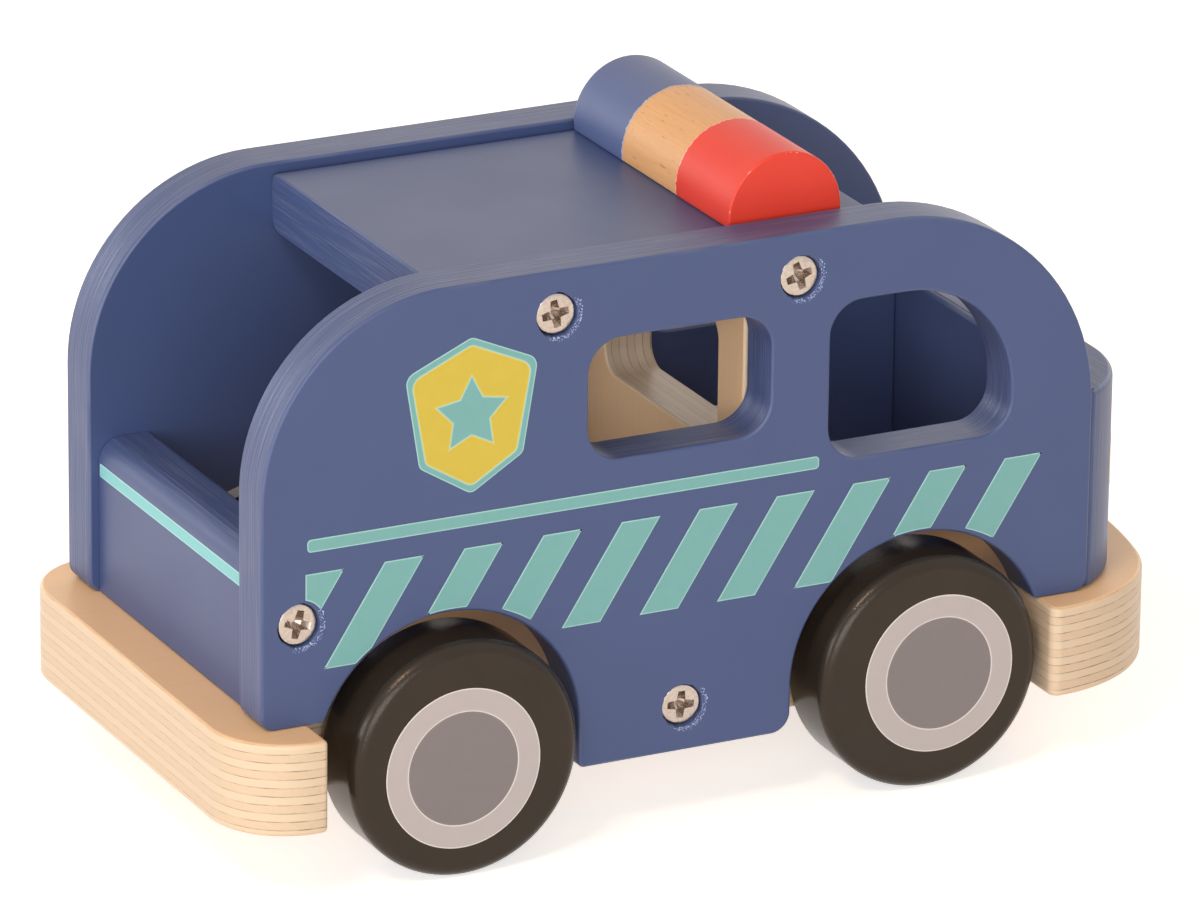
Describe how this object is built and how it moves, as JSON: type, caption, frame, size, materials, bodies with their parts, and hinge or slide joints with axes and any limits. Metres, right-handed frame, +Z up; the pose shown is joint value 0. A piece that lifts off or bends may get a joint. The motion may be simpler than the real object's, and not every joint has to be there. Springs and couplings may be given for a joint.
{
  "type": "toy bus",
  "caption": "Wooden toy bus: screwed plywood sides with open windows, roof with a half-round light bar, low tailgate, and wheels on axles that turn in the base board.",
  "frame": {"origin": "on the ground under the middle of the bus, midway between the ends of the bumpers", "axes": "+X forward, +Y to the left of the bus, +Z up"},
  "size_m": [0.18, 0.0928, 0.1107],
  "materials": {
    "blue_painted_plywood": "satin blue paint on plywood",
    "natural_plywood": "sanded and clear lacquered plywood",
    "beech_light_bar": "lacquered beech with painted ends",
    "beech_axle": "plain beech dowel",
    "black_painted_wood": "satin black paint on turned wood",
    "nickel_screw": "nickel plated steel"
  },
  "bodies": {
    "body": {"base_board": "natural_plywood", "right_side_panel": "blue_painted_plywood", "left_side_panel": "blue_painted_plywood", "roof_board": "blue_painted_plywood", "light_bar": "beech_light_bar", "tailgate": "blue_painted_plywood", "partition": "natural_plywood", "front_board": "blue_painted_plywood", "roof_screws": "nickel_screw", "tailgate_screws": "nickel_screw", "chassis_screws": "nickel_screw", "partition_screws": "nickel_screw", "front_board_screws": "nickel_screw", "light_bar_screws": "nickel_screw"},
    "front_wheels": {"front_axle": "beech_axle", "front_right_wheel": "black_painted_wood", "front_left_wheel": "black_painted_wood"},
    "rear_wheels": {"rear_axle": "beech_axle", "rear_right_wheel": "black_painted_wood", "rear_left_wheel": "black_painted_wood"}
  },
  "joints": [
    {"name": "front_axle_spin", "type": "hinge", "parent": "body", "child": "front_wheels", "pos_m": [0.0373, 0, 0.0205], "axis": [0, 1, 0], "continuous": true},
    {"name": "rear_axle_spin", "type": "hinge", "parent": "body", "child": "rear_wheels", "pos_m": [-0.0494, 0, 0.0205], "axis": [0, 1, 0], "continuous": true}
  ]
}
